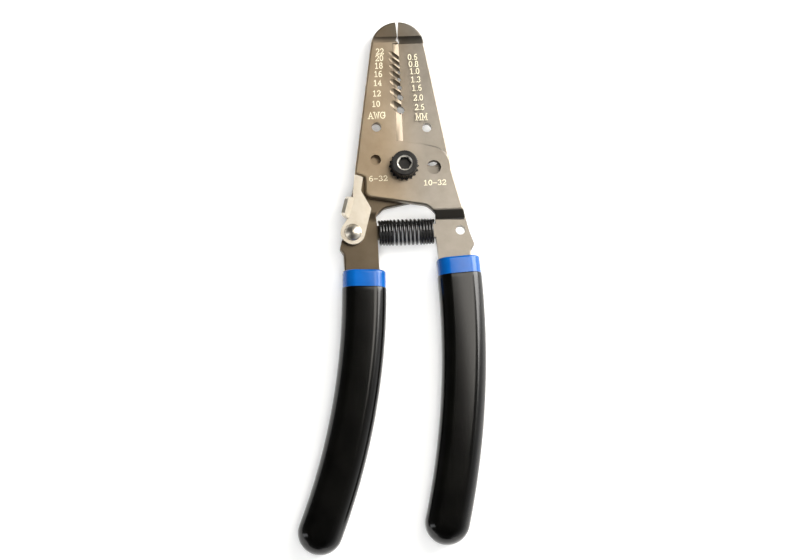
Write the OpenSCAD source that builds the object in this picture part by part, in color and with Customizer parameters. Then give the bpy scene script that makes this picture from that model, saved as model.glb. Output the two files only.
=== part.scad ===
// Wire stripper with two joggled steel blades, a sprung pivot, a lock lever and dipped grips.
// The origin is on the pivot axis at the plane the tool lies on. +Y runs to the nose, +Z to the front.

/* [Blades] */
// Thickness of the stamped steel of both blades
blade_t = 3; // [2.6:0.1:3]
// Clear gap between the two blades where they lap
lap_gap = 0.1; // [0.06:0.02:0.2]
// Height of the middle plane of the tool above the rest plane
mid_z = 5.5; // [5.5:0.05:5.7]
// Radius of the rounded nose
nose_r = 9.25; // [9:0.05:9.5]
// Distance from the pivot to the centre of the nose radius
nose_y = 41.2; // [40.8:0.1:41.6]
// Half width of the head level with the pivot
head_half_w = 16.5; // [16.2:0.1:16.8]
// Width of the ground bevel along each cutting edge
bevel_w = 2.1; // [1.6:0.1:2.6]
// Depth of the ground bevel at the edge
bevel_depth = 1.5; // [1:0.1:2]
// Radius of the two wire-loop holes
loop_hole_r = 1.6; // [1.4:0.05:1.8]
// Radius of the hole in each tang: one is open and one takes the lever rivet
tang_hole_r = 1.6; // [1.5:0.05:1.7]
// Radius of the small screw-shear hole
small_screw_r = 1.8; // [1.7:0.05:2]
// Radius of the large screw-shear hole
large_screw_r = 2.4; // [2.2:0.05:2.6]
// Opening angle of the handles, where the shear holes of both blades line up
open_angle = 20; // [16:1:22]

/* [Pivot] */
// Diameter of the pivot screw's shank
screw_d = 5; // [4.8:0.1:5.2]
// Diameter over the knurled head of the screw
head_d = 8.8; // [8.5:0.1:9.2]
// Height of the screw head
head_h = 5; // [4:0.1:5.5]
// Width across the flats of the socket in the head
socket_af = 4; // [3.5:0.1:4]
// Thickness of the toothed lock washer
washer_t = 0.5; // [0.4:0.05:0.6]
// Width across the flats of the nut
nut_af = 8; // [7.5:0.5:9]
// Radial running clearance of the parts that turn
run_gap = 0.05; // [0.03:0.01:0.08]

/* [Spring] */
// Wire diameter of the handle spring
wire_d = 0.95; // [0.8:0.05:0.95]
// Outer diameter of the spring at its ends
spring_od = 8.5; // [8.2:0.1:8.8]
// How far the middle coils bow out beyond the end coils
spring_bow = 0.25; // [0:0.05:0.4]

/* [Lock lever] */
// Sheet thickness of the lever
lever_t = 1.5; // [1.2:0.1:1.5]
// Radius of the lever's round end about the rivet
lever_end_r = 4.1; // [3.8:0.1:4.4]
// Clearance between the lever's tip and the notch it locks in
lock_gap = 0.3; // [0.25:0.05:0.4]
// Angle that the thumb tab is folded up by
tab_fold = 50; // [35:5:60]

/* [Grips] */
// Width of the dipped grip
grip_w = 14.8; // [14:0.1:15.4]
// Thickness of the dipped grip
grip_t = 11; // [11:0.1:11.4]
// Rounding of the grip's long edges
grip_round = 4.4; // [3.5:0.1:4.8]
// Thickness of the outer coat over the liner
coat_t = 0.9; // [0.7:0.1:1.1]
// Visible length of the liner's collar
collar_l = 5.7; // [5:0.1:5.7]

/* [Hidden] */
$fn = 48;

// The two lapped layers and the shared middle layer, as heights above the rest plane
mid_lo = mid_z - blade_t / 2;
mid_hi = mid_z + blade_t / 2;
front_lo = mid_z + lap_gap / 2;
front_hi = front_lo + blade_t;
rear_lo = mid_z - lap_gap / 2 - blade_t;
// Where the bends that lead to the middle layer start and end along the tool
nose_bend_y = [43, 45.3];
tang_bend_y = [-15.2, -18];
// Each cutting edge reaches a little past the middle, so that the blades shear
edge_x = 0.25;
heel_y = 8.75;
// Wire diameters of the stripping notches, and their distances from the pivot
gauge_d = [0.6, 0.8, 1.0, 1.3, 1.6, 2.0, 2.6];
gauge_y = [37.6, 35.4, 33.1, 30.6, 27.8, 24.4, 20.0];
// Each notch keeps a thin land behind a slanted relief that rises to the blade's face
land_t = 0.4;
relief_extra_r = 0.45;
relief_rise = 36;
relief_heading = 148;
// Hole centres in the front blade
loop_hole = [-8.6, 13.8];
tang_hole = [18.1, -22.1];
small_screw_hole = [-9.4, 2.5];
large_screw_hole = [10.1, -0.6];
// The lock notch's shoulder, which slopes so that the lever can slide out from under it
shoulder_mid = [-15, -2.6];
shoulder_slope = tan(21.5);
notch_x = -13.2;
// Handle paths, straight down the collar and then one arc: [x, y, tilt, bend radius, end tilt]
left_path = [-14.8, -35.1, 2.2, 233, 22.9];
right_path = [16.8, -31.6, -3.2, 277, 14.2];
// Handle bar inside the grip: narrower than the tang, and a little thinner
bar_w = 8.8;
bar_t = blade_t - 0.2;
// Inner edge of each tang where it enters its collar
front_tang_in = 11;
rear_tang_in = 9.7;
// The collar runs this far past the start of the sleeve below it, so that the two are one piece
collar_lap = 0.02;
// Spring: end faces at the tangs, coils wound close at each end and open between them
spring_y = -22;
spring_x = [-9.6, 9.7];
closed_turns = 4.5;
open_turns = 7;
spur_l = 4;
spur_w = 4.4;
// Lock lever heights, from the tang's face up: washer, gap, lever, gap, rivet head
rivet_xy = [-tang_hole.x, tang_hole.y];
lever_washer_t = 0.3;
lever_lo = mid_hi + lever_washer_t + run_gap;
lever_hi = lever_lo + lever_t;
rivet_head_r = 2.9;
rivet_head_h = 1.6;

function unit(v) = v / norm(v);

// Points of the arc that rounds corner b, between its neighbours a and c
function corner(a, b, c, r, n = 6) =
    r == 0 ? [[b.x, b.y]] :
    let (u = unit([a.x - b.x, a.y - b.y]),
         w = unit([c.x - b.x, c.y - b.y]),
         half = acos(u * w) / 2,
         mid = [b.x, b.y] + unit(u + w) * r / sin(half),
         p = [b.x, b.y] + u * r / tan(half) - mid,
         q = [b.x, b.y] + w * r / tan(half) - mid,
         start = atan2(p.y, p.x),
         raw = atan2(q.y, q.x) - start,
         turn = raw > 180 ? raw - 360 : raw < -180 ? raw + 360 : raw)
    [for (i = [0:n]) mid + r * [cos(start + turn * i / n), sin(start + turn * i / n)]];

// A closed outline from corners given as [x, y, rounding radius]
function rounded(pts) =
    let (m = len(pts))
    [for (i = [0:m - 1]) each corner(pts[(i + m - 1) % m], pts[i], pts[(i + 1) % m], pts[i][2])];

// The point where a line from p touches the circle about c, on the given side
function tangent_point(c, r, p, side) =
    let (v = p - c,
         a = atan2(v.y, v.x) + side * acos(r / norm(v)))
    c + r * [cos(a), sin(a)];

// Where a tang's straight part ends, just past the start of its handle's arc
function tang_end(path) = path[1] - collar_l - 0.9;

function shoulder_y(x) = shoulder_mid.y - (x - shoulder_mid.x) * shoulder_slope;

// Outline of the front blade: left jaw, lock notch, tang on the right, and cutting edge
module blade_outline(tang_inner_x, tang_end_y) {
    side_slope = (head_half_w - nose_r) / nose_y;
    side_angle = 180 - atan(side_slope);
    slit_top = 0.5;
    slit_bottom = 0.15;
    first_angle = 90 + asin(slit_top / nose_r);
    steps = 16;
    nose_arc = [for (i = [0:steps])
        let (a = first_angle + (side_angle - first_angle) * i / steps)
        [nose_r * cos(a), nose_y + nose_r * sin(a), 0]];
    jaw_and_notch = [
        [-head_half_w, -1.3, 0.7],
        [-head_half_w, shoulder_y(-head_half_w), 0.3],
        [notch_x, shoulder_y(notch_x), 0.4],
        [notch_x - 0.1, -9.9, 2.5]];
    tang = [
        [7.2, -13.5, 4],
        [9.95, -16.2, 1],
        [9.8, -24, 2],
        [tang_inner_x, tang_end_y, 0],
        [21.3, tang_end_y, 0],
        [21.4, -29.2, 0.8],
        [22.6, -27.2, 1.2],
        [20.1, -18, 2]];
    heel_and_edge = [
        [16.1, -1.6, 0],
        [15.8, 5.8, 7.4],
        [edge_x, heel_y, 0.6],
        [edge_x, 42.3, 0],
        [-0.85, 43.8, 0],
        [-slit_bottom, 45.3, 0]];
    polygon(rounded(concat(nose_arc, jaw_and_notch, tang, heel_and_edge)));
}

// Side view of the front blade: front layer, bent back to the middle layer at nose and tang
module blade_side_prism() {
    low = [
        [60, mid_lo],
        [nose_bend_y[1], mid_lo],
        [nose_bend_y[0], front_lo],
        [tang_bend_y[0], front_lo],
        [tang_bend_y[1], mid_lo],
        [-60, mid_lo]];
    high = [for (i = [len(low) - 1:-1:0]) low[i] + [0, blade_t]];
    rotate([90, 0, 90]) linear_extrude(80, center = true) polygon(concat(low, high));
}

module bore(at, r) {
    translate([at.x, at.y, -1]) cylinder(h = grip_t + 2, r = r);
}

// Ground bevel along the cutting edge, deepest at the edge
module edge_bevel() {
    translate([0, nose_bend_y[0] - 0.4, 0]) rotate([90, 0, 0]) linear_extrude(nose_bend_y[0] - 0.4 - heel_y)
        polygon([[-bevel_w, front_hi], [-bevel_w, front_hi + 1], [edge_x + 1, front_hi + 1],
                 [edge_x + 1, front_hi - bevel_depth], [edge_x, front_hi - bevel_depth]]);
}

// Half-round stripping notches with their slanted reliefs
module gauge_notches() {
    for (i = [0:len(gauge_d) - 1]) {
        r = gauge_d[i] / 2;
        relief_r = r + relief_extra_r;
        bore([0, gauge_y[i]], r);
        translate([0, gauge_y[i], front_lo + land_t + relief_r])
            rotate([0, 90 - relief_rise, relief_heading])
            translate([0, 0, -1]) cylinder(h = 9, r = relief_r, $fn = 12);
    }
}

// One stamped blade without its handle bar, pivot bore and shear holes
module blade_head(tang_inner_x, tang_end_y) {
    difference() {
        intersection() {
            linear_extrude(grip_t + 2) blade_outline(tang_inner_x, tang_end_y);
            blade_side_prism();
        }
        edge_bevel();
        gauge_notches();
        bore(loop_hole, loop_hole_r);
        bore(tang_hole, tang_hole_r);
    }
    translate([9.9 - spur_l, spring_y - spur_w / 2, mid_lo]) cube([spur_l + 1, spur_w, blade_t]);
}

// Moves its children to the collar of a handle path, and points their -Y along it
module at_collar(path) {
    translate([path[0], path[1], 0]) rotate([0, 0, -path[2]]) children();
}

// Moves its children to the centre of a handle path's arc, with its far end on their +X
module at_bend(path) {
    at_collar(path) translate([-path[3], -collar_l, 0]) rotate([0, 0, path[2] - path[4]]) children();
}

// A section held upright and swept round the arc of a handle path
module swept(path) {
    at_bend(path) rotate_extrude(angle = path[4] - path[2], $fn = 180) translate([path[3], 0]) children();
}

function rounded_rect(w, h, r) =
    rounded([[-w / 2, -h / 2, r], [w / 2, -h / 2, r], [w / 2, h / 2, r], [-w / 2, h / 2, r]]);

module grip_section(inset) {
    translate([0, grip_t / 2])
        polygon(rounded_rect(grip_w - 2 * inset, grip_t - 2 * inset, grip_round - inset));
}

// A dipped sleeve's outside below the collar: the swept section and its rounded end
module sleeve(path, inset) {
    swept(path) grip_section(inset);
    at_bend(path) translate([path[3], 0, 0]) rotate([0, 0, 180]) rotate_extrude(angle = 180)
        intersection() {
            grip_section(inset);
            square([grip_w, grip_t]);
        }
}

module handle_bar(path) {
    swept(path) translate([-bar_w / 2, mid_z - bar_t / 2]) square([bar_w, bar_t]);
}

// The space that the front tang and its handle bar take inside the liner
module front_tang() {
    translate([0, 0, mid_lo]) linear_extrude(blade_t) intersection() {
        blade_outline(front_tang_in, tang_end(right_path));
        translate([0, -60]) square([40, 32]);
    }
    handle_bar(right_path);
}

module rear_tang() {
    translate([0, 0, mid_lo]) linear_extrude(blade_t) mirror([1, 0]) intersection() {
        blade_outline(rear_tang_in, tang_end(left_path));
        translate([0, -60]) square([40, 32]);
    }
    handle_bar(left_path);
}

// The rear blade is the front one turned over about the tool's long middle line
module flipped() {
    translate([0, 0, 2 * mid_z]) rotate([0, 180, 0]) children();
}

module front_blade() {
    color([0.3, 0.28, 0.26]) {
        difference() {
            blade_head(front_tang_in, tang_end(right_path));
            bore([0, 0], screw_d / 2);
            bore(small_screw_hole, small_screw_r);
            bore(large_screw_hole, large_screw_r);
        }
        handle_bar(right_path);
    }
}

module rear_blade() {
    color([0.26, 0.24, 0.23]) {
        difference() {
            flipped() blade_head(rear_tang_in, tang_end(left_path));
            bore([0, 0], screw_d / 2 + run_gap);
            rotate([0, 0, open_angle]) {
                bore(small_screw_hole, small_screw_r);
                bore(large_screw_hole, large_screw_r);
            }
        }
        handle_bar(left_path);
    }
}

function toothed(n, r_root, r_tip) =
    [for (i = [0:2 * n - 1]) let (a = 180 * i / n, r = i % 2 == 0 ? r_tip : r_root)
        [r * cos(a), r * sin(a)]];

// Socket head cap screw with a knurled rim
module pivot_screw() {
    head_lo = front_hi + washer_t;
    chamfer = 0.5;
    r = head_d / 2;
    knurls = 40;
    socket_depth = 2.6;
    mouth_r = 2.6;
    color([0.08, 0.08, 0.08]) difference() {
        union() {
            translate([0, 0, head_lo]) intersection() {
                linear_extrude(head_h) polygon(toothed(knurls, r - 0.16, r));
                union() {
                    cylinder(h = head_h - chamfer, r = r + 0.1);
                    translate([0, 0, head_h - chamfer])
                        cylinder(h = chamfer, r1 = r + 0.1, r2 = r + 0.1 - chamfer);
                }
            }
            cylinder(h = head_lo + 1, r = screw_d / 2);
        }
        translate([0, 0, head_lo + head_h - socket_depth])
            cylinder(h = socket_depth + 1, r = socket_af / 2 / cos(30), $fn = 6);
        translate([0, 0, head_lo + head_h - 0.35])
            cylinder(h = 0.45, r1 = mouth_r - 0.35, r2 = mouth_r + 0.1);
    }
}

// External-tooth lock washer under the screw head
module pivot_washer() {
    color([0.12, 0.12, 0.12]) translate([0, 0, front_hi]) difference() {
        linear_extrude(washer_t) polygon(toothed(18, 4.3, 5.1));
        translate([0, 0, -1]) cylinder(h = washer_t + 2, r = screw_d / 2);
    }
}

// Thin hexagon nut at the back, flush with the screw's end
module pivot_nut() {
    color([0.1, 0.1, 0.1]) difference() {
        cylinder(h = rear_lo - run_gap, r = nut_af / 2 / cos(30), $fn = 6);
        translate([0, 0, -1]) cylinder(h = rear_lo + 2, r = screw_d / 2);
    }
}

// Compression spring between the tangs: one wire of round section, wound round the X direction
module return_spring() {
    sides = 6;
    per_turn = 12;
    turns = 2 * closed_turns + open_turns;
    end_x = spring_x[1] - spring_x[0] - wire_d;
    close_pitch = wire_d + 0.03;
    open_pitch = (end_x - 2 * closed_turns * close_pitch) / open_turns;
    function along(n) =
        n < closed_turns ? n * close_pitch :
        n < closed_turns + open_turns ? closed_turns * close_pitch + (n - closed_turns) * open_pitch :
        end_x - (turns - n) * close_pitch;
    function coil_r(n) = (spring_od - wire_d) / 2 + spring_bow * sin(180 * n / turns);
    rings = turns * per_turn;
    points = [for (i = [0:rings], k = [0:sides - 1])
        let (n = i / per_turn,
             reach = coil_r(n) + wire_d / 2 * cos(360 * k / sides))
        [along(n) + wire_d / 2 * sin(360 * k / sides), reach * cos(360 * n), reach * sin(360 * n)]];
    walls = [for (i = [0:rings - 1], k = [0:sides - 1])
        let (a = i * sides + k, b = i * sides + (k + 1) % sides)
        [a, b, b + sides, a + sides]];
    caps = [[for (k = [sides - 1:-1:0]) k], [for (k = [0:sides - 1]) rings * sides + k]];
    color([0.07, 0.07, 0.07]) translate([spring_x[0] + wire_d / 2, spring_y, mid_z])
        polyhedron(points, concat(walls, caps));
}

// Lock lever of sheet metal, with its tip in the front blade's notch and a folded thumb tab
module lock_lever() {
    tip_left = -16.7;
    tip_right = -13.9;
    waist = [-17.6, -10];
    hip = [-11.6, -14.2];
    right_touch = tangent_point(rivet_xy, lever_end_r, hip, -1);
    left_touch = tangent_point(rivet_xy, lever_end_r, [-19.9, -17.6], 1);
    outline = rounded([
        [tip_right, shoulder_y(tip_right) - lock_gap, 0.4],
        [tip_left, shoulder_y(tip_left) - lock_gap, 0.4],
        [-17.4, -7.5, 2],
        [waist.x, waist.y, 1],
        [-19.9, -17.6, 2],
        [left_touch.x, left_touch.y, 0],
        [right_touch.x, right_touch.y, 0],
        [hip.x, hip.y, 1.2],
        [-14.8, -8, 1.5]]);
    fold_from = [-19.6, -17.4];
    fold_to = [-17.5, -10.2];
    fold_l = norm(fold_to - fold_from);
    fold_turn = -atan2(fold_to.x - fold_from.x, fold_to.y - fold_from.y);
    tab_w = 3.2;
    color([0.78, 0.75, 0.7]) {
        difference() {
            union() {
                translate([0, 0, lever_lo]) linear_extrude(lever_t) polygon(outline);
                translate([rivet_xy.x, rivet_xy.y, lever_lo]) cylinder(h = lever_t, r = lever_end_r);
            }
            translate([rivet_xy.x, rivet_xy.y, 0]) cylinder(h = 20, r = tang_hole_r + run_gap);
        }
        translate([fold_from.x, fold_from.y, lever_lo + lever_t / 2]) rotate([0, 0, fold_turn]) {
            rotate([-90, 0, 0]) cylinder(h = fold_l, r = lever_t / 2);
            rotate([0, tab_fold, 0]) translate([0, 0, -lever_t / 2]) linear_extrude(lever_t)
                polygon(rounded([[0, 0, 0], [0, fold_l, 0], [-tab_w, fold_l - 0.3, 1.6],
                                 [-tab_w, 0.3, 1.6]]));
        }
    }
}

// Rivet that the lever turns on, with a domed head and a flat formed tail
module lever_rivet() {
    dome_r = (rivet_head_r ^ 2 + rivet_head_h ^ 2) / (2 * rivet_head_h);
    head_lo = lever_hi + run_gap;
    tail_t = 1.1;
    color([0.8, 0.76, 0.7]) translate([rivet_xy.x, rivet_xy.y, 0]) {
        translate([0, 0, mid_lo]) cylinder(h = head_lo - mid_lo, r = tang_hole_r);
        translate([0, 0, mid_lo - tail_t]) cylinder(h = tail_t, r = 2.6);
        intersection() {
            translate([0, 0, head_lo + rivet_head_h - dome_r]) sphere(r = dome_r);
            translate([0, 0, head_lo]) cylinder(h = rivet_head_h + 1, r = rivet_head_r + 1);
        }
    }
}

// Thin washer that gives the lever its friction
module lever_washer() {
    color([0.5, 0.48, 0.45]) translate([rivet_xy.x, rivet_xy.y, mid_hi]) difference() {
        cylinder(h = lever_washer_t, r = 3.4);
        translate([0, 0, -1]) cylinder(h = lever_washer_t + 2, r = tang_hole_r);
    }
}

// Inner dip: a full-width collar at the top and a thin-walled sleeve under the outer coat
module liner(path) {
    at_collar(path) rotate([90, 0, 0]) linear_extrude(collar_l + collar_lap) grip_section(0);
    sleeve(path, coat_t);
}

module left_liner() {
    color([0.08, 0.4, 0.85]) difference() {
        liner(left_path);
        rear_tang();
    }
}

module right_liner() {
    color([0.08, 0.4, 0.85]) difference() {
        liner(right_path);
        front_tang();
    }
}

// Outer dip: the black coat that the hand holds
module coat(path) {
    color([0.05, 0.05, 0.05]) difference() {
        sleeve(path, 0);
        sleeve(path, coat_t);
    }
}

module left_grip() {
    coat(left_path);
}

module right_grip() {
    coat(right_path);
}

front_blade();
rear_blade();
pivot_screw();
pivot_washer();
pivot_nut();
return_spring();
lock_lever();
lever_rivet();
lever_washer();
left_liner();
right_liner();
left_grip();
right_grip();
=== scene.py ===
"""Looks of the wire stripper: dipped grips, coil spring, gauge marks, blackened steel and studio light."""

import math
from collections import namedtuple

import bmesh
import bpy
from mathutils import Matrix, Vector

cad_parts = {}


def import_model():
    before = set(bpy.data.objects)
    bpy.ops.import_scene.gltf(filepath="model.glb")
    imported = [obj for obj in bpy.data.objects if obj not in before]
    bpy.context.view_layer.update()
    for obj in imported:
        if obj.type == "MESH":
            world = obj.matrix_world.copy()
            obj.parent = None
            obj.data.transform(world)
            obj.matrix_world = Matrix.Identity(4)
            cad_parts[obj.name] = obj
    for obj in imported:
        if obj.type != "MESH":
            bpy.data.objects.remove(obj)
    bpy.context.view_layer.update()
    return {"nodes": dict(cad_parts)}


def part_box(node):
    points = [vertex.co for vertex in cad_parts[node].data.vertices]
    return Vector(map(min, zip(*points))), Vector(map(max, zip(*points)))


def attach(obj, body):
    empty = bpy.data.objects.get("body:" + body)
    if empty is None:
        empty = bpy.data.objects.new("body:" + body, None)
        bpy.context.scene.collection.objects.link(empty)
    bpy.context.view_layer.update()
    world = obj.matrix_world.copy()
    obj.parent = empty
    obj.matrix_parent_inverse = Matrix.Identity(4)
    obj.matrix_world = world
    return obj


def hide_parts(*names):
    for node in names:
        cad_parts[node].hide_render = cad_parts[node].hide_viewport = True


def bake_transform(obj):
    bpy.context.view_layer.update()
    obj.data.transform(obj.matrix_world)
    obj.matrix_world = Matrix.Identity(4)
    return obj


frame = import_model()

MM = 0.001
NODES = frame["nodes"]

# Heights that the CAD parts give, in metres
REAR_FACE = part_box("rear_blade")[1].z
FRONT_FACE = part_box("front_blade")[1].z
PIVOT_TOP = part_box("pivot_screw")[1].z


# ---------------------------------------------------------------- mesh helpers

def add_mesh(name, verts, faces):
    """A smooth-shaded object made from points and faces."""
    mesh = bpy.data.meshes.new(name)
    mesh.from_pydata([tuple(v) for v in verts], [], faces)
    mesh.validate()
    mesh.polygons.foreach_set("use_smooth", [True] * len(mesh.polygons))
    obj = bpy.data.objects.new(name, mesh)
    bpy.context.scene.collection.objects.link(obj)
    return obj


def loft(name, rings):
    """A closed skin over rings that all have the same number of points, capped at both ends."""
    n = len(rings[0])
    verts = [p for ring in rings for p in ring]
    faces = []
    for i in range(len(rings) - 1):
        for k in range(n):
            a, b = i * n + k, i * n + (k + 1) % n
            faces.append((a, b, b + n, a + n))
    faces.append(tuple(range(n - 1, -1, -1)))
    faces.append(tuple((len(rings) - 1) * n + k for k in range(n)))
    return add_mesh(name, verts, faces)


# ---------------------------------------------------------------- material helpers

def new_material(name):
    """A fresh material, its node tree, its Principled shader and object coordinates."""
    mat = bpy.data.materials.new(name)
    mat.use_nodes = True
    tree = mat.node_tree
    shader = tree.nodes["Principled BSDF"]
    coords = tree.nodes.new("ShaderNodeTexCoord").outputs["Object"]
    return mat, tree, shader, coords


def noise(tree, coords, scale, detail=4.0, rough=0.55):
    node = tree.nodes.new("ShaderNodeTexNoise")
    node.inputs["Scale"].default_value = scale
    node.inputs["Detail"].default_value = detail
    node.inputs["Roughness"].default_value = rough
    tree.links.new(coords, node.inputs["Vector"])
    return node.outputs["Fac"]


def stretched(tree, coords, scale):
    """Coordinates scaled per axis, for grain that runs one way."""
    node = tree.nodes.new("ShaderNodeMapping")
    node.inputs["Scale"].default_value = scale
    tree.links.new(coords, node.inputs["Vector"])
    return node.outputs["Vector"]


def ramp(tree, fac, stops):
    node = tree.nodes.new("ShaderNodeValToRGB")
    elements = node.color_ramp.elements
    while len(elements) < len(stops):
        elements.new(0.5)
    for element, (at, color) in zip(elements, stops):
        element.position = at
        element.color = (*color, 1.0)
    tree.links.new(fac, node.inputs["Fac"])
    return node.outputs["Color"]


def two_tone(tree, fac, tones, low=0.3, high=0.7):
    """A dark and a light tone, as a pair, mixed by a noise value."""
    dark, light = tones
    return ramp(tree, fac, [(low, dark), (high, light)])


def mixed(tree, factor, a, b):
    """Colour a where the factor is 0, and b where it is 1."""
    node = tree.nodes.new("ShaderNodeMix")
    node.data_type = "RGBA"
    tree.links.new(factor, node.inputs["Factor"])
    tree.links.new(a, node.inputs["A"])
    tree.links.new(b, node.inputs["B"])
    return node.outputs["Result"]


def spread(tree, fac, low, high):
    """A 0..1 value mapped to low..high."""
    node = tree.nodes.new("ShaderNodeMapRange")
    node.inputs["To Min"].default_value = low
    node.inputs["To Max"].default_value = high
    tree.links.new(fac, node.inputs["Value"])
    return node.outputs["Result"]


def bump(tree, shader, height, strength, distance_mm):
    node = tree.nodes.new("ShaderNodeBump")
    node.inputs["Strength"].default_value = strength
    node.inputs["Distance"].default_value = distance_mm * MM
    tree.links.new(height, node.inputs["Height"])
    tree.links.new(node.outputs["Normal"], shader.inputs["Normal"])


def times(tree, a, b):
    node = tree.nodes.new("ShaderNodeMath")
    node.operation = "MULTIPLY"
    tree.links.new(a, node.inputs[0])
    tree.links.new(b, node.inputs[1])
    return node.outputs[0]


def within(value, span):
    """Tests for all_of: a value lies inside a span given in millimetres."""
    low, high = span
    return [(value, "GREATER_THAN", low * MM), (value, "LESS_THAN", high * MM)]


def all_of(tree, tests):
    """1 where every test holds, else 0; a test is (value, GREATER_THAN or LESS_THAN, limit)."""
    mask = None
    for value, comparison, limit in tests:
        step = tree.nodes.new("ShaderNodeMath")
        step.operation = comparison
        step.inputs[1].default_value = limit
        tree.links.new(value, step.inputs[0])
        mask = step.outputs[0] if mask is None else times(tree, mask, step.outputs[0])
    return mask


def axes(tree, coords):
    """X, Y and Z of a vector, as three values."""
    split = tree.nodes.new("ShaderNodeSeparateXYZ")
    tree.links.new(coords, split.inputs["Vector"])
    return split.outputs["X"], split.outputs["Y"], split.outputs["Z"]


def distance_from_pivot(tree, x, y):
    flat = tree.nodes.new("ShaderNodeCombineXYZ")
    tree.links.new(x, flat.inputs["X"])
    tree.links.new(y, flat.inputs["Y"])
    length = tree.nodes.new("ShaderNodeVectorMath")
    length.operation = "LENGTH"
    tree.links.new(flat.outputs["Vector"], length.inputs[0])
    return length.outputs["Value"]


def eased(tree, value, span, low, high):
    """A value that goes smoothly from low to high as another crosses a span given in millimetres."""
    start, end = span
    node = tree.nodes.new("ShaderNodeMapRange")
    node.interpolation_type = "SMOOTHSTEP"
    node.inputs["From Min"].default_value = start * MM
    node.inputs["From Max"].default_value = end * MM
    node.inputs["To Min"].default_value = low
    node.inputs["To Max"].default_value = high
    tree.links.new(value, node.inputs["Value"])
    return node.outputs["Result"]


def scaled(tree, color, factor):
    """A colour made darker or lighter by a factor."""
    node = tree.nodes.new("ShaderNodeVectorMath")
    node.operation = "SCALE"
    tree.links.new(color, node.inputs[0])
    tree.links.new(factor, node.inputs["Scale"])
    return node.outputs["Vector"]


# ---------------------------------------------------------------- materials

# Dark and light tone of each finish
WARM_STEEL = ((0.27, 0.206, 0.134), (0.355, 0.282, 0.195))
GREY_STEEL = ((0.212, 0.19, 0.158), (0.29, 0.265, 0.229))
OXIDE_BLACK = ((0.008, 0.008, 0.008), (0.02, 0.019, 0.017))
WORN_BRIGHT = ((0.4, 0.38, 0.33), (0.55, 0.53, 0.48))
WIRE_BLACK = ((0.008, 0.008, 0.008), (0.02, 0.019, 0.018))
NICKEL = ((0.6, 0.54, 0.44), (0.7, 0.655, 0.57))
VINYL_BLACK = ((0.001, 0.001, 0.0009), (0.0022, 0.0021, 0.0018))
VINYL_BLUE = ((0.001, 0.07, 0.28), (0.002, 0.092, 0.36))
MARKING_CREAM = ((0.72, 0.65, 0.44), (0.88, 0.82, 0.62))

# Where the blades change tone, in millimetres: across the tool, then along it; the nose bend, the tang's
# bend and the tang take painted shade
WARM_TO_GREY = (-9, 9)
NOSE_BEND = (43.2, 45.2)
NOSE_START = (45.2, 45.5)
TANG_SHADE_FADE = (-14, 4)
TANG_BEND = (-18, -15.3)
GROUND_BEVEL = (8, 42.8)
# Painted shade across the nose bend: the blades' colour there is scaled down to this
NOSE_BEND_SHADE = 0.35
GROUND_TONE = 0.5

# Ring round the screw's socket that is worn bright: its radii and its depth, in millimetres
WORN_RING = (2.1, 2.6)
WORN_DEPTH = 0.5


def blackened_steel(name, nose_tone, tang_shade, bend_shade, ground_x, ground_z):
    """Satin blackened sheet: cloudy finish, fine grain along the blade, a darker ground bevel,
    and painted shade across the nose bend, on the tang's bend and towards the tang.

    The tones scale its colour at the nose, and set the painted shade towards the tang and on the tang's
    bend; ground_x and ground_z are the ground bevel's ranges, in millimetres."""
    mat, tree, shader, coords = new_material(name)
    x, y, z = axes(tree, coords)
    clouds = noise(tree, coords, 90.0, 5.0, 0.6)
    grain = noise(tree, stretched(tree, coords, (900.0, 2600.0, 900.0)), 1.0, 3.0, 0.6)
    steel = mixed(tree, eased(tree, x, WARM_TO_GREY, 0.0, 1.0),
                  two_tone(tree, clouds, WARM_STEEL), two_tone(tree, clouds, GREY_STEEL))
    # Painted shade: darker across the nose bend, then back to the nose's own tone beyond it
    bend = eased(tree, y, NOSE_BEND, 1.0, NOSE_BEND_SHADE)
    nose = eased(tree, y, NOSE_START, 1.0, nose_tone / NOSE_BEND_SHADE)
    # Painted shade towards the tang, fading out along the blade
    tang = eased(tree, y, TANG_SHADE_FADE, tang_shade, 1.0)
    # Painted shade on the tang's bend, where its slope faces away from the light
    tang_bend_shade_zone = all_of(tree, within(y, TANG_BEND))
    ground = all_of(tree, within(x, ground_x) + within(y, GROUND_BEVEL) + within(z, ground_z))
    tang = times(tree, tang, spread(tree, tang_bend_shade_zone, 1.0, bend_shade))
    tang = times(tree, tang, spread(tree, ground, 1.0, GROUND_TONE))
    tone = scaled(tree, steel, times(tree, times(tree, bend, nose), tang))
    tree.links.new(tone, shader.inputs["Base Color"])
    tree.links.new(spread(tree, clouds, 0.34, 0.44), shader.inputs["Roughness"])
    shader.inputs["Metallic"].default_value = 0.9
    bump(tree, shader, grain, 0.12, 0.04)
    return mat


def black_oxide():
    """Black oxide, worn bright on the chamfer round the screw's socket."""
    mat, tree, shader, coords = new_material("black_oxide")
    x, y, z = axes(tree, coords)
    radius = distance_from_pivot(tree, x, y)
    near_top = (z, "GREATER_THAN", PIVOT_TOP - WORN_DEPTH * MM)
    worn = all_of(tree, within(radius, WORN_RING) + [near_top])
    clouds = noise(tree, coords, 500.0)
    finish = mixed(tree, worn, two_tone(tree, clouds, OXIDE_BLACK), two_tone(tree, clouds, WORN_BRIGHT))
    tree.links.new(finish, shader.inputs["Base Color"])
    tree.links.new(spread(tree, clouds, 0.28, 0.42), shader.inputs["Roughness"])
    shader.inputs["Metallic"].default_value = 0.6
    bump(tree, shader, clouds, 0.1, 0.05)
    return mat


def spring_wire():
    """Oiled black spring wire."""
    mat, tree, shader, coords = new_material("spring_wire")
    clouds = noise(tree, coords, 700.0)
    tree.links.new(two_tone(tree, clouds, WIRE_BLACK), shader.inputs["Base Color"])
    tree.links.new(spread(tree, clouds, 0.18, 0.3), shader.inputs["Roughness"])
    shader.inputs["Metallic"].default_value = 0.5
    shader.inputs["Coat Weight"].default_value = 0.5
    shader.inputs["Coat Roughness"].default_value = 0.12
    return mat


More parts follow.
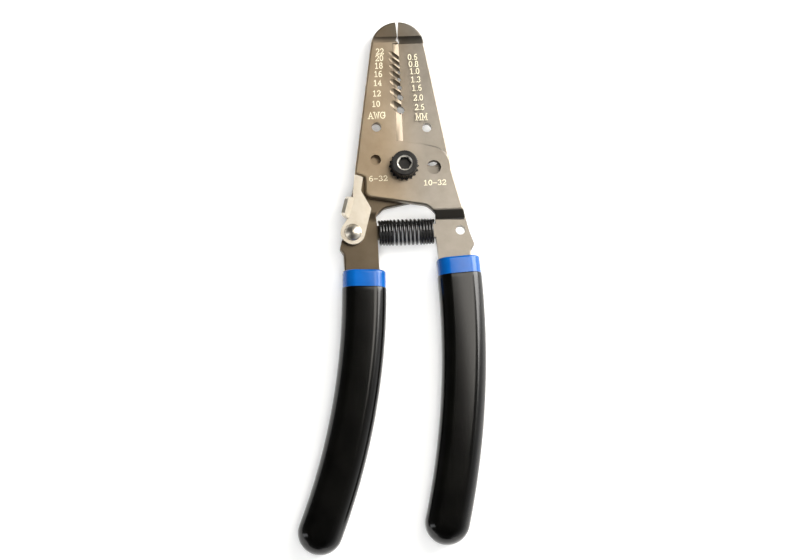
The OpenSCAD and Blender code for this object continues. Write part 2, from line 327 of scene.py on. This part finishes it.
def bright_plating():
    """Nickel plate with faint handling marks."""
    mat, tree, shader, coords = new_material("bright_plating")
    clouds = noise(tree, coords, 220.0, 6.0, 0.65)
    grain = noise(tree, stretched(tree, coords, (2200.0, 500.0, 900.0)), 1.0, 3.0, 0.6)
    tree.links.new(two_tone(tree, clouds, NICKEL), shader.inputs["Base Color"])
    tree.links.new(spread(tree, clouds, 0.3, 0.42), shader.inputs["Roughness"])
    shader.inputs["Metallic"].default_value = 1.0
    bump(tree, shader, grain, 0.05, 0.02)
    return mat


def dipped_vinyl(name, tones, rough_low, rough_high):
    """Glossy dipped coat with slow ripples and a faint orange peel."""
    mat, tree, shader, coords = new_material(name)
    ripples = noise(tree, coords, 130.0, 3.0, 0.5)
    peel = noise(tree, coords, 1500.0, 3.0, 0.6)
    tree.links.new(two_tone(tree, ripples, tones, 0.35, 0.65), shader.inputs["Base Color"])
    tree.links.new(spread(tree, ripples, rough_low, rough_high), shader.inputs["Roughness"])
    shader.inputs["Specular IOR Level"].default_value = 0.3
    shader.inputs["Coat Weight"].default_value = 0.12
    shader.inputs["Coat Roughness"].default_value = 0.16
    bump(tree, shader, peel, 0.08, 0.04)
    return mat


def marking_paint():
    """Pale etched numerals, slightly uneven."""
    mat, tree, shader, coords = new_material("marking")
    patches = noise(tree, coords, 1800.0, 4.0, 0.7)
    tree.links.new(two_tone(tree, patches, MARKING_CREAM, 0.3, 0.65), shader.inputs["Base Color"])
    tree.links.new(spread(tree, patches, 0.45, 0.65), shader.inputs["Roughness"])
    return mat


# The front blade takes painted shade on its tang's bend; the rear blade is painted darker towards its tang,
# and a little on its tang's bend, as shade
FRONT_STEEL = blackened_steel("front_blade_steel", nose_tone=0.48, tang_shade=1.0, bend_shade=0.3,
                              ground_x=(-2.2, 0.35), ground_z=(5.6, 8.5))
REAR_STEEL = blackened_steel("rear_blade_steel", nose_tone=0.7, tang_shade=0.4, bend_shade=0.9,
                             ground_x=(-0.35, 2.2), ground_z=(2.5, 5.4))
OXIDE = black_oxide()
WIRE = spring_wire()
PLATING = bright_plating()
BLACK = dipped_vinyl("black_vinyl", VINYL_BLACK, 0.15, 0.19)
BLUE = dipped_vinyl("blue_vinyl", VINYL_BLUE, 0.15, 0.2)
PAINT = marking_paint()


# ---------------------------------------------------------------- CAD parts

# The front blade's holes as x, y and the radius that their rims lie within, in millimetres
ROUND_HOLES = [(0.0, 0.0, 3.0), (-8.6, 13.8, 2.2), (18.1, -22.1, 2.2)]
SHEAR_HOLES = [(-9.4, 2.5, 2.4), (10.1, -0.6, 3.0)]
# The rear blade's shear holes come under the front blade's when the handles open by this angle
SHEAR_TURN = math.radians(20)

# Stretches of the front blade's outline that stay sharp, as x and y ranges in millimetres
NOTCHES = ((-5.2, 1.2), (8.3, 46.0))
SPRING_SPUR = ((4.0, 11.5), (-24.5, -19.5))
OUTER_BUMP = ((18.5, 23.0), (-27.0, -20.0))

# Widths of the rounded edges, in millimetres
FRONT_ROLL = 0.6
BACK_ROLL = 0.2
BLADE_EDGE = 0.07

WELD_DISTANCE = 1e-6
FLAT_ANGLE = math.radians(0.3)
SHARP_ANGLE = math.radians(33)


def rear_blade_holes():
    """The rear blade's holes: the round ones mirrored, the shear holes turned to where they wait."""
    cos, sin = math.cos(SHEAR_TURN), math.sin(SHEAR_TURN)
    mirrored = [(-x, y, r) for x, y, r in ROUND_HOLES]
    turned = [(x * cos - y * sin, x * sin + y * cos, r) for x, y, r in SHEAR_HOLES]
    return mirrored + turned


def outline_points(obj, low, high, mirrored):
    """Points of a blade's outer edges between two heights, but none at a hole or a sharp stretch."""
    holes = rear_blade_holes() if mirrored else ROUND_HOLES + SHEAR_HOLES
    out = []
    for vertex in obj.data.vertices:
        x, y, z = (c / MM for c in vertex.co)
        across = -x if mirrored else x
        stays_sharp = any(x0 < across < x1 and y0 < y < y1
                          for (x0, x1), (y0, y1) in (NOTCHES, SPRING_SPUR, OUTER_BUMP))
        at_hole = any(math.hypot(x - hx, y - hy) < r for hx, hy, r in holes)
        if low < z < high and not (stays_sharp or at_hole):
            out.append(vertex.index)
    return out


def tidy_faces(obj):
    """Joins the CAD mesh's triangles into whole faces, so that edges can be rounded."""
    weld = obj.modifiers.new("weld", "WELD")
    weld.merge_threshold = WELD_DISTANCE
    flat = obj.modifiers.new("flat", "DECIMATE")
    flat.decimate_type = "DISSOLVE"
    flat.angle_limit = FLAT_ANGLE


def round_group(obj, name, points, width_mm):
    """Rounds the edges between the given points."""
    group = obj.vertex_groups.new(name=name)
    group.add(points, 1.0, "REPLACE")
    edge = obj.modifiers.new(name, "BEVEL")
    edge.limit_method = "VGROUP"
    edge.vertex_group = name
    edge.width = width_mm * MM
    edge.segments = 3
    edge.use_clamp_overlap = False


def finish_edges(obj, width_mm):
    """Breaks every edge that is still sharp, and shades the part smoothly with flat faces kept flat."""
    edge = obj.modifiers.new("edge", "BEVEL")
    edge.width = width_mm * MM
    edge.segments = 2
    edge.limit_method = "ANGLE"
    edge.angle_limit = SHARP_ANGLE
    obj.data.polygons.foreach_set("use_smooth", [True] * len(obj.data.polygons))
    normals = obj.modifiers.new("normals", "WEIGHTED_NORMAL")
    normals.keep_sharp = False
    normals.weight = 100


def set_material(obj, material):
    obj.data.materials.clear()
    obj.data.materials.append(material)


def dress(node, material, width_mm):
    """Gives a CAD part its material, and breaks its sharp edges so that they catch the light."""
    obj = NODES[node]
    set_material(obj, material)
    tidy_faces(obj)
    finish_edges(obj, width_mm)


def dress_blade(node, material, mirrored, front_layer, back_layer):
    """A stamped blade: its outer edges are rolled over, as the punch leaves them.

    Each layer is the range of heights, in millimetres, that one side's edges lie in."""
    obj = NODES[node]
    set_material(obj, material)
    tidy_faces(obj)
    round_group(obj, "rolled_front", outline_points(obj, *front_layer, mirrored), FRONT_ROLL)
    round_group(obj, "rolled_back", outline_points(obj, *back_layer, mirrored), BACK_ROLL)
    finish_edges(obj, BLADE_EDGE)


dress_blade("front_blade", FRONT_STEEL, False, (6.9, 8.7), (3.9, 5.7))
dress_blade("rear_blade", REAR_STEEL, True, (5.35, 7.1), (2.3, 4.1))
dress("pivot_screw", OXIDE, 0.05)
dress("pivot_washer", OXIDE, 0.05)
dress("pivot_nut", OXIDE, 0.1)
dress("lock_lever", PLATING, 0.12)
dress("lever_rivet", PLATING, 0.08)
dress("lever_washer", PLATING, 0.03)


# ---------------------------------------------------------------- grips

# Sizes in millimetres, as the CAD parts are made
COLLAR_L = 5.7
GRIP_W = 14.8
GRIP_T = 11.0
COAT_ROUND = 4.4
COAT_LIP = 0.35
END_ROUND = 5.2
COLLAR_ROUND = 4.2
COLLAR_INSET = 0.18
COLLAR_RIM = 0.7
CORNER_STEPS = 14

# A handle's body, its collar's top in millimetres, its tilt there, its bend radius and its end tilt
Handle = namedtuple("Handle", "body x y tilt radius end_tilt")
HANDLES = {
    "left": Handle("left_half", -14.8, -35.1, 2.2, 233.0, 22.9),
    "right": Handle("right_half", 16.8, -31.6, -3.2, 277.0, 14.2),
}


def handle_point(handle, s):
    """Point and tilt at distance s down a handle, in millimetres and radians."""
    t = math.radians(handle.tilt)
    straight = min(s, COLLAR_L)
    x, y = handle.x - math.sin(t) * straight, handle.y - math.cos(t) * straight
    if s <= COLLAR_L:
        return x, y, t
    radius = handle.radius
    a = t + (s - COLLAR_L) / radius
    return x - radius * (math.cos(t) - math.cos(a)), y - radius * (math.sin(a) - math.sin(t)), a


def bend_end(handle):
    """Distance down a handle at which its bend stops, in millimetres."""
    return COLLAR_L + handle.radius * math.radians(handle.end_tilt - handle.tilt)


def section(half_w, half_t, round_r):
    """Outline of a rounded rectangle across the handle, as (across, up) pairs."""
    r = min(round_r, half_w * 0.999, half_t * 0.999)
    out = []
    for cx, cz, start in ((1, 1, 0), (-1, 1, 90), (-1, -1, 180), (1, -1, 270)):
        for i in range(CORNER_STEPS + 1):
            a = math.radians(start + 90 * i / CORNER_STEPS)
            out.append((cx * (half_w - r) + r * math.cos(a), cz * (half_t - r) + r * math.sin(a)))
    return out


def stood_at(x, y, a, half_w, half_t, round_r):
    """A section stood across the handle at a point and tilt, in metres."""
    return [((x + u * math.cos(a)) * MM, (y - u * math.sin(a)) * MM, (GRIP_T / 2 + v) * MM)
            for u, v in section(half_w, half_t, round_r)]


def ring(handle, s, half_w, half_t, round_r):
    """A section at distance s down the handle."""
    x, y, a = handle_point(handle, s)
    return stood_at(x, y, a, half_w, half_t, round_r)


def rolled_mouth(handle, start, lip, half_w, half_t, round_r, steps):
    """Rings of a dip's mouth, whose edge is a quarter circle."""
    rings = []
    for i in range(steps + 1):
        a = math.radians(90 * i / steps)
        inset = lip * (1 - math.sin(a))
        s = start + lip * (1 - math.cos(a))
        rings.append(ring(handle, s, half_w - inset, half_t - inset, round_r - inset))
    return rings


def round_end(handle, half_w, half_t, round_r, steps=24):
    """Rings of the grip's end, straight on from the bend: round in plan, and rounded over in height."""
    x, y, a = handle_point(handle, bend_end(handle))
    rings = []
    for i in range(1, steps + 1):
        d = half_w * math.sin(math.radians(89.0 * i / steps))
        w = math.sqrt(half_w ** 2 - d ** 2)
        over = max(0.0, d - (half_w - END_ROUND))
        h = half_t - END_ROUND + math.sqrt(max(END_ROUND ** 2 - over ** 2, 0.0))
        rings.append(stood_at(x - math.sin(a) * d, y - math.cos(a) * d, a, w, h, round_r))
    return rings


def grip_coat(side, body_steps=60):
    """Black outer dip: rolled top edge, plain body and a full round end."""
    handle = HANDLES[side]
    body = handle.body
    half_w, half_t, round_r = GRIP_W / 2, GRIP_T / 2, COAT_ROUND
    rings = [ring(handle, COLLAR_L + 0.25, half_w - 1.0, half_t - 1.0, round_r - 1.0)]
    rings += rolled_mouth(handle, COLLAR_L, COAT_LIP, half_w, half_t, round_r, 6)
    start = COLLAR_L + COAT_LIP
    length = bend_end(handle) - start
    for i in range(1, body_steps + 1):
        rings.append(ring(handle, start + length * i / body_steps, half_w, half_t, round_r))
    rings += round_end(handle, half_w, half_t, round_r)
    grip = loft(side + "_grip_coat", rings)
    grip.data.materials.append(BLACK)
    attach(grip, body)
    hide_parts(side + "_grip")


def collar(side):
    """Blue inner dip: the visible collar, rounded at its mouth, and its start under the coat."""
    handle = HANDLES[side]
    body = handle.body
    half_w, half_t, round_r = GRIP_W / 2 - COLLAR_INSET, GRIP_T / 2 - COLLAR_INSET, COLLAR_ROUND
    rings = [ring(handle, 0.5, 5.0, 1.2, 0.6), ring(handle, 0.35, 5.9, 1.9, 0.9),
             ring(handle, 0.05, half_w - 1.8, half_t - 1.8, round_r - 1.6)]
    rings += rolled_mouth(handle, 0.0, COLLAR_RIM, half_w, half_t, round_r, 8)
    for s in (1.5, 3.0, 4.5, COLLAR_L, COLLAR_L + 0.4):
        rings.append(ring(handle, s, half_w, half_t, round_r))
    rings.append(ring(handle, COLLAR_L + 0.8, half_w - 1.2, half_t - 1.2, round_r - 1.0))
    piece = loft(side + "_collar", rings)
    piece.data.materials.append(BLUE)
    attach(piece, body)
    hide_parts(side + "_liner")


for handle_side in HANDLES:
    grip_coat(handle_side)
    collar(handle_side)


# ---------------------------------------------------------------- spring

# The spring in millimetres: its wire, its coils, where it stands between the tangs, and its turns
WIRE_R = 0.475
SPRING_R = 4.25
SPRING_BOW = 0.25
SPRING_START_X = -9.6
SPRING_END_X = 9.7
SPRING_Y = -22.0
CLOSED_TURNS = 4.5
OPEN_TURNS = 7.0
COIL_GAP = 0.03
STEPS_PER_TURN = 28
WIRE_SIDES = 12


def along_spring(turn):
    """Distance of a turn from the spring's start: close wound at each end, open between."""
    close_pitch = 2 * WIRE_R + COIL_GAP
    span = SPRING_END_X - SPRING_START_X - 2 * WIRE_R
    open_pitch = (span - 2 * CLOSED_TURNS * close_pitch) / OPEN_TURNS
    if turn < CLOSED_TURNS:
        return turn * close_pitch
    if turn < CLOSED_TURNS + OPEN_TURNS:
        return CLOSED_TURNS * close_pitch + (turn - CLOSED_TURNS) * open_pitch
    return span - (2 * CLOSED_TURNS + OPEN_TURNS - turn) * close_pitch


def coil_spring():
    """Round-wire compression spring, a little fuller in the middle."""
    turns = 2 * CLOSED_TURNS + OPEN_TURNS
    rings = []
    for i in range(int(turns * STEPS_PER_TURN) + 1):
        n = i / STEPS_PER_TURN
        a = 2 * math.pi * n
        mid_r = SPRING_R - WIRE_R + SPRING_BOW * math.sin(math.pi * n / turns)
        middle_x = SPRING_START_X + WIRE_R + along_spring(n)
        points = []
        for k in range(WIRE_SIDES):
            b = 2 * math.pi * k / WIRE_SIDES
            reach = mid_r + WIRE_R * math.cos(b)
            points.append(((middle_x + WIRE_R * math.sin(b)) * MM,
                           (SPRING_Y + reach * math.cos(a)) * MM,
                           (GRIP_T / 2 + reach * math.sin(a)) * MM))
        rings.append(points)
    spring = loft("coil_spring", rings)
    spring.data.materials.append(WIRE)
    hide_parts("return_spring")
    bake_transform(spring)


coil_spring()


# ---------------------------------------------------------------- markings

def arc(cx, cy, rx, ry, start, end, n=14):
    """Points along an ellipse from one angle to another, in degrees."""
    return [(cx + rx * math.cos(math.radians(start + (end - start) * i / n)),
             cy + ry * math.sin(math.radians(start + (end - start) * i / n))) for i in range(n + 1)]


# Slab-serif strokes of each character, as lines of points in a cell about 0.6 wide and 1 high
GLYPHS = {
    "0": [arc(0.3, 0.5, 0.24, 0.46, 0, 360, 28)],
    "1": [[(0.12, 0.8), (0.3, 0.96), (0.3, 0.03)], [(0.1, 0.03), (0.5, 0.03)]],
    "2": [arc(0.3, 0.7, 0.23, 0.26, 165, -35) + [(0.06, 0.03), (0.54, 0.03), (0.54, 0.16)]],
    "3": [arc(0.29, 0.73, 0.21, 0.23, 150, -90), arc(0.29, 0.27, 0.24, 0.24, 90, -150)],
    "4": [[(0.42, 0.03), (0.42, 0.96), (0.05, 0.3), (0.56, 0.3)], [(0.28, 0.03), (0.54, 0.03)]],
    "5": [[(0.5, 0.96), (0.12, 0.96), (0.1, 0.55)] + arc(0.29, 0.31, 0.24, 0.28, 120, -150)],
    "6": [arc(0.44, 0.5, 0.36, 0.46, 85, 180, 10) + arc(0.3, 0.29, 0.23, 0.26, 180, 540, 22)],
    "8": [arc(0.3, 0.74, 0.2, 0.22, 0, 360, 22), arc(0.3, 0.27, 0.24, 0.25, 0, 360, 24)],
    ".": [arc(0.15, 0.05, 0.03, 0.03, 0, 360, 8)],
    "-": [[(0.06, 0.42), (0.54, 0.42)]],
    "A": [[(0.1, 0.03), (0.38, 0.97), (0.66, 0.03)], [(0.2, 0.35), (0.56, 0.35)],
          [(-0.02, 0.03), (0.22, 0.03)], [(0.54, 0.03), (0.78, 0.03)]],
    "W": [[(0.08, 0.97), (0.25, 0.03), (0.42, 0.8), (0.6, 0.03), (0.76, 0.97)],
          [(-0.03, 0.97), (0.2, 0.97)], [(0.65, 0.97), (0.88, 0.97)]],
    "G": [arc(0.4, 0.5, 0.33, 0.46, 40, 345, 26) + [(0.72, 0.44), (0.46, 0.44)],
          [(0.7, 0.6), (0.7, 0.95)]],
    "M": [[(0.12, 0.03), (0.12, 0.97), (0.4, 0.3), (0.68, 0.97), (0.68, 0.03)],
          [(0.0, 0.03), (0.24, 0.03)], [(0.56, 0.03), (0.8, 0.03)], [(0.02, 0.97), (0.16, 0.97)],
          [(0.64, 0.97), (0.78, 0.97)]],
}
ADVANCE = {".": 0.3, "A": 0.84, "W": 0.92, "G": 0.86, "M": 0.88}
USUAL_ADVANCE = 0.72
LAST_GAP = 0.12
STROKE = 0.115
MARK_THICKNESS_MM = 0.02


def advance(character):
    return ADVANCE.get(character, USUAL_ADVANCE)


def text_width(text):
    return sum(advance(c) for c in text) - LAST_GAP


def ribbon_sides(pts, closed, width):
    """Both sides of a stroke along a line of points: mitred corners, and ends run on to be square."""
    n = len(pts)
    sides = []
    for i, p in enumerate(pts):
        before = pts[i - 1] if closed or i else None
        after = pts[(i + 1) % n] if closed or i < n - 1 else None
        d0 = (p - before).normalized() if before is not None else (after - p).normalized()
        d1 = (after - p).normalized() if after is not None else d0
        d = (d0 + d1).normalized()
        across = Vector((-d.y, d.x))
        mitre = width / 2 / max(0.5, across.dot(Vector((-d1.y, d1.x))))
        grow = Vector((0.0, 0.0))
        if before is None:
            grow = -d * width / 2
        elif after is None:
            grow = d * width / 2
        sides.append((p + grow + across * mitre, p + grow - across * mitre))
    return sides


def ribbon(bm, points, width, thickness):
    """A flat raised stroke along a line of points."""
    closed = (Vector(points[0]) - Vector(points[-1])).length < 1e-9
    pts = [Vector(p) for p in (points[:-1] if closed else points)]
    n = len(pts)
    sides = ribbon_sides(pts, closed, width)
    low = [[bm.verts.new((q.x, q.y, 0.0)) for q in pair] for pair in sides]
    high = [[bm.verts.new((q.x, q.y, thickness)) for q in pair] for pair in sides]
    for i in range(n if closed else n - 1):
        j = (i + 1) % n
        bm.faces.new((high[i][0], high[i][1], high[j][1], high[j][0]))
        bm.faces.new((low[j][0], low[j][1], low[i][1], low[i][0]))
        bm.faces.new((high[j][0], low[j][0], low[i][0], high[i][0]))
        bm.faces.new((high[i][1], low[i][1], low[j][1], high[j][1]))
    if not closed:
        bm.faces.new((high[0][0], low[0][0], low[0][1], high[0][1]))
        bm.faces.new((high[-1][1], low[-1][1], low[-1][0], high[-1][0]))


def marking(name, text, centre, height, face_z, body, squeeze=1.0):
    """Text centred at a point of a blade's face, in millimetres; squeeze scales its width."""
    bm = bmesh.new()
    x = -text_width(text) / 2
    for c in text:
        for line in GLYPHS[c]:
            points = [(x + px, py - 0.5) for px, py in line]
            ribbon(bm, points, STROKE, MARK_THICKNESS_MM / height)
        x += advance(c)
    bmesh.ops.recalc_face_normals(bm, faces=bm.faces)
    mesh = bpy.data.meshes.new(name)
    bm.to_mesh(mesh)
    bm.free()
    place = Matrix.Translation((centre[0] * MM, centre[1] * MM, face_z))
    mesh.transform(place @ Matrix.Diagonal((height * squeeze * MM, height * MM, height * MM, 1.0)))
    obj = bpy.data.objects.new(name, mesh)
    bpy.context.scene.collection.objects.link(obj)
    mesh.materials.append(PAINT)
    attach(obj, body)


# Gauge numbers with their heights along the blade, in millimetres
AWG_MARKS = [("22", 39.9), ("20", 37.6), ("18", 35.0), ("16", 32.1), ("14", 29.0), ("12", 25.4),
             ("10", 21.8)]
MM_MARKS = [("0.6", 38.0), ("0.8", 35.6), ("1.0", 33.1), ("1.3", 30.2), ("1.6", 27.3), ("2.0", 23.9),
            ("2.6", 20.6)]
# Each column's x at its lowest number, and how far it leans per millimetre along the blade
AWG_X, AWG_LEAN = -8.4, 0.115
MM_X, MM_LEAN = 6.35, 0.09
NUMERAL_H = 2.0
UNIT_H = 2.3
SCREW_H = 1.8


def gauge_columns():
    """Gauge numbers beside the stripping notches, in columns that lean with the blade's outer edges."""
    for text, y in AWG_MARKS:
        x = AWG_X + AWG_LEAN * (y - AWG_MARKS[-1][1])
        marking("awg_" + text, text, (x, y), NUMERAL_H, FRONT_FACE, "right_half")
    for text, y in MM_MARKS:
        x = MM_X - MM_LEAN * (y - MM_MARKS[-1][1])
        marking("mm_" + text, text, (x, y), NUMERAL_H, REAR_FACE, "left_half")


gauge_columns()
marking("label_awg", "AWG", (-8.4, 17.8), UNIT_H, FRONT_FACE, "right_half")
marking("label_mm", "MM", (6.8, 17.2), UNIT_H, REAR_FACE, "left_half")
marking("screw_small", "6-32", (-8.8, -3.9), SCREW_H, FRONT_FACE, "right_half", squeeze=1.25)
marking("screw_large", "10-32", (10.2, -5.9), SCREW_H, FRONT_FACE, "right_half", squeeze=1.2)


# ---------------------------------------------------------------- stage, light and camera

FLOOR_SIZE = 6.0
FLOOR_DROP_MM = 0.05
WARM_WHITE = (1.0, 0.98, 0.95)
SOFT_AMBER = (1.0, 0.95, 0.88)
COOL_WHITE = (0.95, 0.97, 1.0)
PURE_WHITE = (1.0, 1.0, 1.0)


def floor():
    """A plain pale floor just under the tool, that glows a little to lift its shadows."""
    bpy.ops.mesh.primitive_plane_add(size=FLOOR_SIZE, location=(0, 0, -FLOOR_DROP_MM * MM))
    plane = bpy.context.object
    plane.name = "floor"
    mat, _, shader, _ = new_material("floor")
    shader.inputs["Base Color"].default_value = (0.93, 0.93, 0.92, 1.0)
    shader.inputs["Roughness"].default_value = 0.7
    shader.inputs["Emission Color"].default_value = (1.0, 1.0, 1.0, 1.0)
    shader.inputs["Emission Strength"].default_value = 0.12
    plane.data.materials.append(mat)


def area_light(name, place, target, size, power, color):
    """A rectangular light at a place, turned to a target; sizes in metres and power in watts."""
    data = bpy.data.lights.new(name, "AREA")
    data.shape = "RECTANGLE"
    data.size, data.size_y = size
    data.energy = power
    data.color = color
    obj = bpy.data.objects.new(name, data)
    obj.location = place
    aim = Vector(target) - Vector(place)
    obj.rotation_euler = aim.to_track_quat("-Z", "Y").to_euler()
    bpy.context.scene.collection.objects.link(obj)
    return obj


def world():
    """A dim studio: dark overhead and on the left, brighter low down and on the right."""
    data = bpy.data.worlds.new("studio")
    data.use_nodes = True
    tree = data.node_tree
    x, _, z = axes(tree, tree.nodes.new("ShaderNodeTexCoord").outputs["Generated"])
    height = ramp(tree, z, [(0.0, (1.1, 1.1, 1.1)), (0.35, (0.45, 0.45, 0.45)), (0.8, (0.13, 0.13, 0.125))])
    side = tree.nodes.new("ShaderNodeMapRange")
    side.inputs["From Min"].default_value = 0.0
    side.inputs["From Max"].default_value = 0.9
    side.inputs["To Min"].default_value = 0.15
    side.inputs["To Max"].default_value = 1.7
    tree.links.new(x, side.inputs["Value"])
    background = tree.nodes["Background"]
    tree.links.new(height, background.inputs["Color"])
    tree.links.new(side.outputs["Result"], background.inputs["Strength"])
    bpy.context.scene.world = data


def lights():
    """A large key, a near softbox mirrored in the steel, a strip for the left edges and a floor light."""
    middle = (0.0, -0.04, 0.0)
    head = (0.02, 0.0, 0.0)
    area_light("key", (0.75, 0.35, 0.45), middle, (0.5, 0.7), 15.0, WARM_WHITE)
    area_light("near_softbox", (0.12, 0.06, 0.3), head, (0.12, 0.2), 0.44, SOFT_AMBER)
    area_light("fill", (-0.8, -0.25, 0.35), middle, (0.25, 0.9), 1.8, COOL_WHITE)
    bounce = area_light("floor_bounce", (-0.12, -0.3, 0.95), middle, (0.6, 0.6), 7.5, PURE_WHITE)
    bounce.visible_glossy = False


def camera():
    """Looks down on the tool from its handle end and a little from the left, slightly rolled."""
    target = Vector((-2.92, -38.36, 6.0)) * MM
    distance = 1.5
    tilt = math.radians(11)
    yaw = math.radians(-4)
    roll = math.radians(2.69)
    back = Vector((math.sin(yaw) * math.cos(tilt), -math.sin(tilt), math.cos(yaw) * math.cos(tilt)))
    back.normalize()
    right = Vector((0.0, 1.0, 0.0)).cross(back).normalized()
    up = back.cross(right)
    x_axis = right * math.cos(roll) - up * math.sin(roll)
    y_axis = right * math.sin(roll) + up * math.cos(roll)
    data = bpy.data.cameras.new("camera")
    data.lens = 201.7
    data.clip_start = 0.05
    data.clip_end = 20.0
    obj = bpy.data.objects.new("camera", data)
    obj.matrix_world = (Matrix.Translation(target + back * distance)
                        @ Matrix((x_axis, y_axis, back)).transposed().to_4x4())
    bpy.context.scene.collection.objects.link(obj)
    bpy.context.scene.camera = obj


floor()
world()
lights()
camera()
bpy.context.scene.view_settings.view_transform = "Standard"
